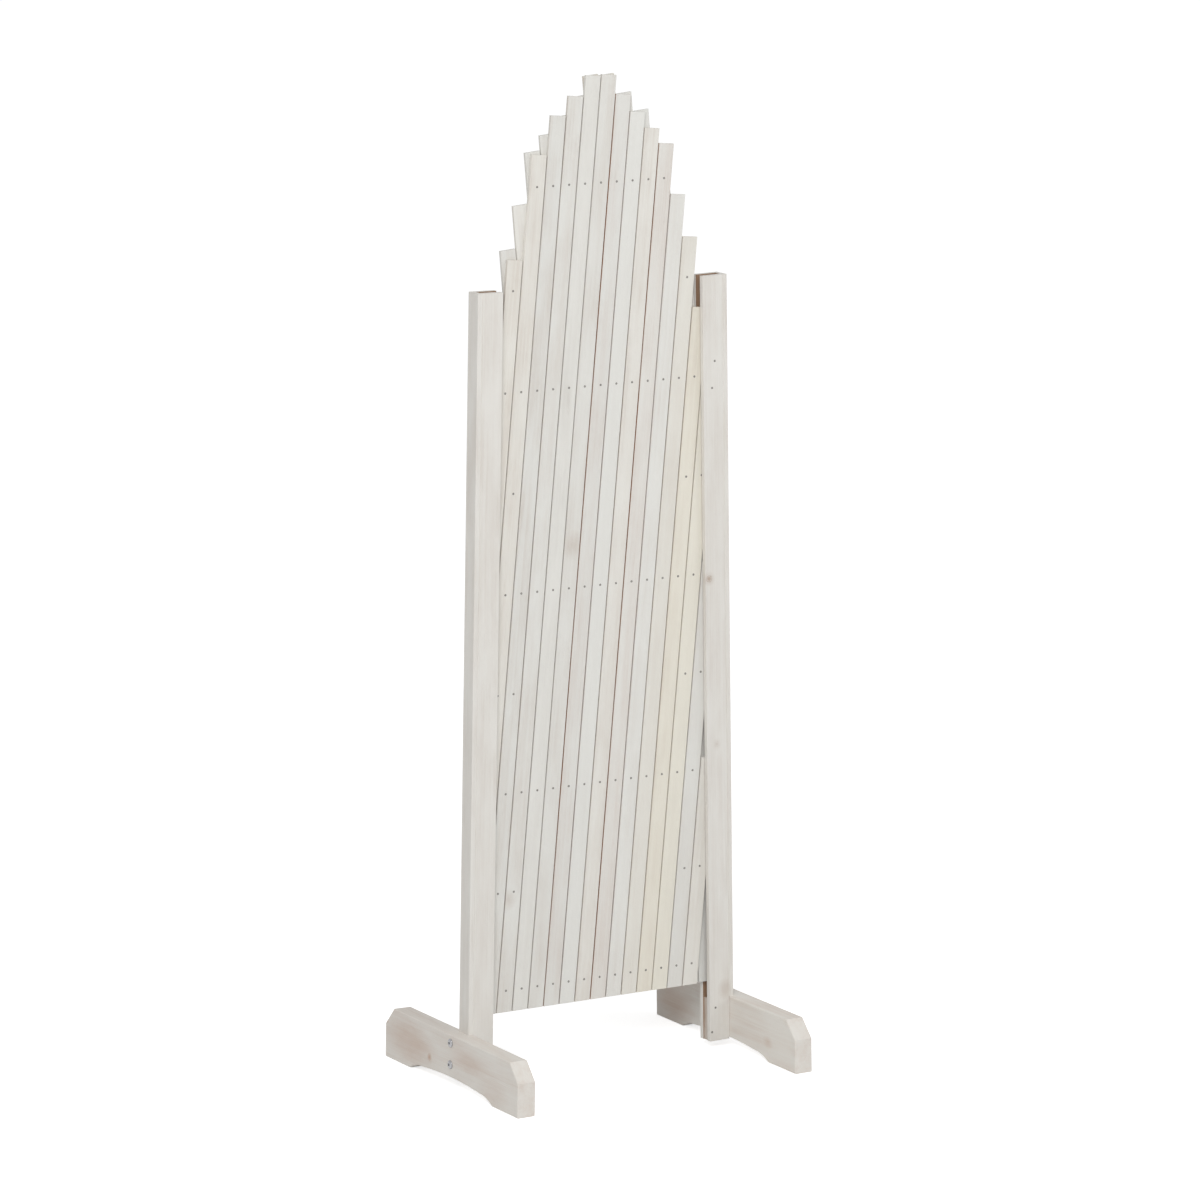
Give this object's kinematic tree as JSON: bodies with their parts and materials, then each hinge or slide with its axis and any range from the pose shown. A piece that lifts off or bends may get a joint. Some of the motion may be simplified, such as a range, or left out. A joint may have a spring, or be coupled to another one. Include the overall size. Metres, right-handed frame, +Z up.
{
  "type": "expanding garden trellis",
  "caption": "Folding wooden scissor trellis with an arched top, sliding in two channelled posts on bolted feet.",
  "frame": {"origin": "on the floor, midway between the posts and midway between the two layers of slats", "axes": "+X across the trellis to the right as seen from the front, +Z up, front towards -Y"},
  "size_m": [0.5122, 0.4, 1.4888],
  "materials": {
    "slat_wood": "whitewashed, sawn grain showing through",
    "post_wood": "whitewashed, raw inside the channel",
    "foot_wood": "thin whitewash over brown wood",
    "raw_wood": "raw sawn wood",
    "nail_steel": "dull galvanised wire nail",
    "bolt_steel": "bright zinc"
  },
  "bodies": {
    "left_post": {"left_post_boards": "post_wood", "left_post_strip": "post_wood", "left_post_block": "raw_wood", "left_post_nails": "nail_steel", "left_foot": "foot_wood", "left_foot_bolts": "bolt_steel"},
    "front_slat_01": {"front_slat_01": "slat_wood", "slat_nails_01": "nail_steel"},
    "front_slat_02": {"front_slat_02": "slat_wood", "slat_nails_02": "nail_steel"},
    "front_slat_03": {"front_slat_03": "slat_wood", "slat_nails_03": "nail_steel"},
    "front_slat_04": {"front_slat_04": "slat_wood", "slat_nails_04": "nail_steel"},
    "front_slat_05": {"front_slat_05": "slat_wood", "slat_nails_05": "nail_steel"},
    "front_slat_06": {"front_slat_06": "slat_wood", "slat_nails_06": "nail_steel"},
    "front_slat_07": {"front_slat_07": "slat_wood", "slat_nails_07": "nail_steel"},
    "front_slat_08": {"front_slat_08": "slat_wood", "slat_nails_08": "nail_steel"},
    "front_slat_09": {"front_slat_09": "slat_wood", "slat_nails_09": "nail_steel"},
    "front_slat_10": {"front_slat_10": "slat_wood", "slat_nails_10": "nail_steel"},
    "front_slat_11": {"front_slat_11": "slat_wood", "slat_nails_11": "nail_steel"},
    "front_slat_12": {"front_slat_12": "slat_wood", "slat_nails_12": "nail_steel"},
    "front_slat_13": {"front_slat_13": "slat_wood", "slat_nails_13": "nail_steel"},
    "front_slat_14": {"front_slat_14": "slat_wood", "slat_nails_14": "nail_steel"},
    "front_slat_15": {"front_slat_15": "slat_wood", "slat_nails_15": "nail_steel"},
    "front_slat_16": {"front_slat_16": "slat_wood", "slat_nails_16": "nail_steel"},
    "back_slat_01": {"back_slat_01": "slat_wood"},
    "back_slat_02": {"back_slat_02": "slat_wood"},
    "back_slat_03": {"back_slat_03": "slat_wood"},
    "back_slat_04": {"back_slat_04": "slat_wood"},
    "back_slat_05": {"back_slat_05": "slat_wood"},
    "back_slat_06": {"back_slat_06": "slat_wood"},
    "back_slat_07": {"back_slat_07": "slat_wood"},
    "back_slat_08": {"back_slat_08": "slat_wood"},
    "back_slat_09": {"back_slat_09": "slat_wood"},
    "back_slat_10": {"back_slat_10": "slat_wood"},
    "back_slat_11": {"back_slat_11": "slat_wood"},
    "back_slat_12": {"back_slat_12": "slat_wood"},
    "back_slat_13": {"back_slat_13": "slat_wood"},
    "back_slat_14": {"back_slat_14": "slat_wood"},
    "back_slat_15": {"back_slat_15": "slat_wood"},
    "back_slat_16": {"back_slat_16": "slat_wood"},
    "right_post": {"right_post_boards": "post_wood", "right_post_strip": "post_wood", "right_post_block": "raw_wood", "right_post_nails": "nail_steel", "right_foot": "foot_wood", "right_foot_bolts": "bolt_steel"}
  },
  "joints": [
    {"name": "left_post_pivot", "type": "hinge", "parent": "left_post", "child": "back_slat_14", "pos_m": [-0.18689, 0, 1.01414], "axis": [0, -1, 0], "range_deg": [0, 15]},
    {"name": "front_slat_01_pivot", "type": "hinge", "parent": "back_slat_14", "child": "front_slat_01", "pos_m": [-0.17504, 0, 0.88267], "axis": [0, 1, 0], "range_deg": [0, 30]},
    {"name": "front_slat_02_pivot", "type": "hinge", "parent": "back_slat_14", "child": "front_slat_02", "pos_m": [-0.16157, 0, 0.73328], "axis": [0, 1, 0], "range_deg": [0, 30]},
    {"name": "front_slat_03_pivot", "type": "hinge", "parent": "back_slat_14", "child": "front_slat_03", "pos_m": [-0.14811, 0, 0.58388], "axis": [0, 1, 0], "range_deg": [0, 30]},
    {"name": "front_slat_04_pivot", "type": "hinge", "parent": "back_slat_14", "child": "front_slat_04", "pos_m": [-0.13464, 0, 0.43449], "axis": [0, 1, 0], "range_deg": [0, 30]},
    {"name": "front_slat_06_pivot", "type": "hinge", "parent": "back_slat_14", "child": "front_slat_06", "pos_m": [-0.10772, 0, 0.1357], "axis": [0, 1, 0], "range_deg": [0, 30]},
    {"name": "back_slat_15_pivot", "type": "hinge", "parent": "front_slat_01", "child": "back_slat_15", "pos_m": [-0.1885, 0, 0.73328], "axis": [0, -1, 0], "range_deg": [0, 30]},
    {"name": "back_slat_13_pivot", "type": "hinge", "parent": "front_slat_01", "child": "back_slat_13", "pos_m": [-0.16157, 0, 1.03207], "axis": [0, -1, 0], "range_deg": [0, 30]},
    {"name": "back_slat_12_pivot", "type": "hinge", "parent": "front_slat_01", "child": "back_slat_12", "pos_m": [-0.14811, 0, 1.18146], "axis": [0, -1, 0], "range_deg": [0, 30]},
    {"name": "back_slat_16_pivot", "type": "hinge", "parent": "front_slat_02", "child": "back_slat_16", "pos_m": [-0.1885, 0, 0.43449], "axis": [0, -1, 0], "range_deg": [0, 30]},
    {"name": "back_slat_10_pivot", "type": "hinge", "parent": "front_slat_02", "child": "back_slat_10", "pos_m": [-0.10772, 0, 1.33086], "axis": [0, -1, 0], "range_deg": [0, 30]},
    {"name": "back_slat_11_pivot", "type": "hinge", "parent": "front_slat_03", "child": "back_slat_11", "pos_m": [-0.10772, 0, 1.03207], "axis": [0, -1, 0], "range_deg": [0, 30]},
    {"name": "back_slat_09_pivot", "type": "hinge", "parent": "front_slat_03", "child": "back_slat_09", "pos_m": [-0.08079, 0, 1.33086], "axis": [0, -1, 0], "range_deg": [0, 30]},
    {"name": "back_slat_08_pivot", "type": "hinge", "parent": "front_slat_04", "child": "back_slat_08", "pos_m": [-0.05386, 0, 1.33086], "axis": [0, -1, 0], "range_deg": [0, 30]},
    {"name": "back_slat_06_pivot", "type": "hinge", "parent": "front_slat_06", "child": "back_slat_06", "pos_m": [0, 0, 1.33086], "axis": [0, -1, 0], "range_deg": [0, 30]},
    {"name": "front_slat_05_pivot", "type": "hinge", "parent": "back_slat_15", "child": "front_slat_05", "pos_m": [-0.13464, 0, 0.1357], "axis": [0, 1, 0], "range_deg": [0, 30]},
    {"name": "front_slat_07_pivot", "type": "hinge", "parent": "back_slat_13", "child": "front_slat_07", "pos_m": [-0.08079, 0, 0.1357], "axis": [0, 1, 0], "range_deg": [0, 30]},
    {"name": "front_slat_08_pivot", "type": "hinge", "parent": "back_slat_12", "child": "front_slat_08", "pos_m": [-0.05386, 0, 0.1357], "axis": [0, 1, 0], "range_deg": [0, 30]},
    {"name": "front_slat_10_pivot", "type": "hinge", "parent": "back_slat_10", "child": "front_slat_10", "pos_m": [0, 0, 0.1357], "axis": [0, 1, 0], "range_deg": [0, 30]},
    {"name": "front_slat_09_pivot", "type": "hinge", "parent": "back_slat_11", "child": "front_slat_09", "pos_m": [-0.02693, 0, 0.1357], "axis": [0, 1, 0], "range_deg": [0, 30]},
    {"name": "front_slat_11_pivot", "type": "hinge", "parent": "back_slat_09", "child": "front_slat_11", "pos_m": [0.02693, 0, 0.1357], "axis": [0, 1, 0], "range_deg": [0, 30]},
    {"name": "front_slat_12_pivot", "type": "hinge", "parent": "back_slat_08", "child": "front_slat_12", "pos_m": [0.05386, 0, 0.1357], "axis": [0, 1, 0], "range_deg": [0, 30]},
    {"name": "front_slat_14_pivot", "type": "hinge", "parent": "back_slat_06", "child": "front_slat_14", "pos_m": [0.10772, 0, 0.1357], "axis": [0, 1, 0], "range_deg": [0, 30]},
    {"name": "back_slat_07_pivot", "type": "hinge", "parent": "front_slat_05", "child": "back_slat_07", "pos_m": [-0.02693, 0, 1.33086], "axis": [0, -1, 0], "range_deg": [0, 30]},
    {"name": "back_slat_05_pivot", "type": "hinge", "parent": "front_slat_07", "child": "back_slat_05", "pos_m": [0.02693, 0, 1.33086], "axis": [0, -1, 0], "range_deg": [0, 30]},
    {"name": "back_slat_04_pivot", "type": "hinge", "parent": "front_slat_08", "child": "back_slat_04", "pos_m": [0.05386, 0, 1.33086], "axis": [0, -1, 0], "range_deg": [0, 30]},
    {"name": "back_slat_02_pivot", "type": "hinge", "parent": "front_slat_10", "child": "back_slat_02", "pos_m": [0.10772, 0, 1.33086], "axis": [0, -1, 0], "range_deg": [0, 30]},
    {"name": "back_slat_03_pivot", "type": "hinge", "parent": "front_slat_09", "child": "back_slat_03", "pos_m": [0.08079, 0, 1.33086], "axis": [0, -1, 0], "range_deg": [0, 30]},
    {"name": "back_slat_01_pivot", "type": "hinge", "parent": "front_slat_12", "child": "back_slat_01", "pos_m": [0.14811, 0, 1.18146], "axis": [0, -1, 0], "range_deg": [0, 30]},
    {"name": "front_slat_13_pivot", "type": "hinge", "parent": "back_slat_07", "child": "front_slat_13", "pos_m": [0.08079, 0, 0.1357], "axis": [0, 1, 0], "range_deg": [0, 30]},
    {"name": "front_slat_15_pivot", "type": "hinge", "parent": "back_slat_05", "child": "front_slat_15", "pos_m": [0.13464, 0, 0.1357], "axis": [0, 1, 0], "range_deg": [0, 30]},
    {"name": "front_slat_16_pivot", "type": "hinge", "parent": "back_slat_04", "child": "front_slat_16", "pos_m": [0.16157, 0, 0.1357], "axis": [0, 1, 0], "range_deg": [0, 30]},
    {"name": "right_post_pivot", "type": "hinge", "parent": "front_slat_14", "child": "right_post", "pos_m": [0.18689, 0, 1.01414], "axis": [0, -1, 0], "range_deg": [0, 15]}
  ],
  "couplings": [
    {"joint": "front_slat_01_pivot", "follows": "left_post_pivot", "ratio": 2},
    {"joint": "front_slat_02_pivot", "follows": "left_post_pivot", "ratio": 2},
    {"joint": "front_slat_03_pivot", "follows": "left_post_pivot", "ratio": 2},
    {"joint": "front_slat_04_pivot", "follows": "left_post_pivot", "ratio": 2},
    {"joint": "front_slat_06_pivot", "follows": "left_post_pivot", "ratio": 2},
    {"joint": "back_slat_15_pivot", "follows": "left_post_pivot", "ratio": 2},
    {"joint": "back_slat_13_pivot", "follows": "left_post_pivot", "ratio": 2},
    {"joint": "back_slat_12_pivot", "follows": "left_post_pivot", "ratio": 2},
    {"joint": "back_slat_16_pivot", "follows": "left_post_pivot", "ratio": 2},
    {"joint": "back_slat_10_pivot", "follows": "left_post_pivot", "ratio": 2},
    {"joint": "back_slat_11_pivot", "follows": "left_post_pivot", "ratio": 2},
    {"joint": "back_slat_09_pivot", "follows": "left_post_pivot", "ratio": 2},
    {"joint": "back_slat_08_pivot", "follows": "left_post_pivot", "ratio": 2},
    {"joint": "back_slat_06_pivot", "follows": "left_post_pivot", "ratio": 2},
    {"joint": "front_slat_05_pivot", "follows": "left_post_pivot", "ratio": 2},
    {"joint": "front_slat_07_pivot", "follows": "left_post_pivot", "ratio": 2},
    {"joint": "front_slat_08_pivot", "follows": "left_post_pivot", "ratio": 2},
    {"joint": "front_slat_10_pivot", "follows": "left_post_pivot", "ratio": 2},
    {"joint": "front_slat_09_pivot", "follows": "left_post_pivot", "ratio": 2},
    {"joint": "front_slat_11_pivot", "follows": "left_post_pivot", "ratio": 2},
    {"joint": "front_slat_12_pivot", "follows": "left_post_pivot", "ratio": 2},
    {"joint": "front_slat_14_pivot", "follows": "left_post_pivot", "ratio": 2},
    {"joint": "back_slat_07_pivot", "follows": "left_post_pivot", "ratio": 2},
    {"joint": "back_slat_05_pivot", "follows": "left_post_pivot", "ratio": 2},
    {"joint": "back_slat_04_pivot", "follows": "left_post_pivot", "ratio": 2},
    {"joint": "back_slat_02_pivot", "follows": "left_post_pivot", "ratio": 2},
    {"joint": "back_slat_03_pivot", "follows": "left_post_pivot", "ratio": 2},
    {"joint": "back_slat_01_pivot", "follows": "left_post_pivot", "ratio": 2},
    {"joint": "front_slat_13_pivot", "follows": "left_post_pivot", "ratio": 2},
    {"joint": "front_slat_15_pivot", "follows": "left_post_pivot", "ratio": 2},
    {"joint": "front_slat_16_pivot", "follows": "left_post_pivot", "ratio": 2},
    {"joint": "right_post_pivot", "follows": "left_post_pivot", "ratio": 1}
  ]
}
